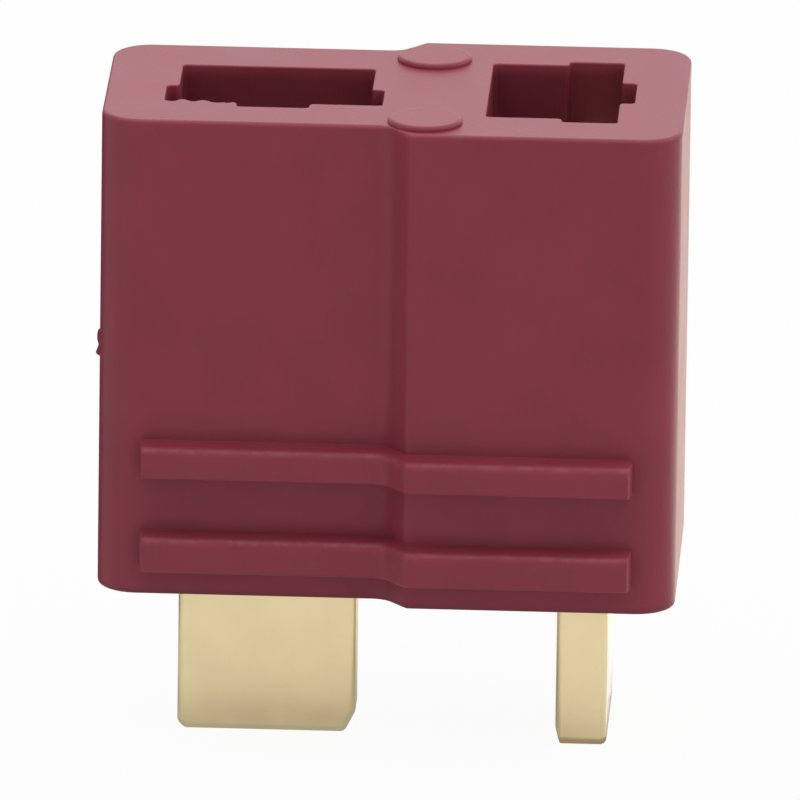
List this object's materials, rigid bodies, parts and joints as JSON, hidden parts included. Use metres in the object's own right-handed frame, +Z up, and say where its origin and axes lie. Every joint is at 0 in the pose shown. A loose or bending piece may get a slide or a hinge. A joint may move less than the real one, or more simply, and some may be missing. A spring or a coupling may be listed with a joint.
{
  "type": "two-blade power connector socket",
  "caption": "Moulded power connector socket of the T kind: a stepped block with a lengthwise and a crosswise blade slot, sprung gold-plated contacts and bare solder tabs.",
  "frame": {"origin": "middle of the footprint, on the surface that the ends of the solder tabs stand on", "axes": "+Z up along the mating axis, out of the mating face; +X along the width, from the thin end to the thick end; -Y to the front, where the lengthwise contact lies"},
  "size_m": [0.0162, 0.0108, 0.0183],
  "materials": {
    "housing_plastic": "fine moulded grain, satin",
    "contact_plating": "gold plating over brass bar, satin",
    "spring_steel": "bright rolled strip"
  },
  "bodies": {
    "root": {"housing": "housing_plastic", "lengthwise_contact": "contact_plating", "crosswise_contact": "contact_plating", "lengthwise_spring": "spring_steel", "crosswise_spring": "spring_steel"}
  },
  "joints": []
}
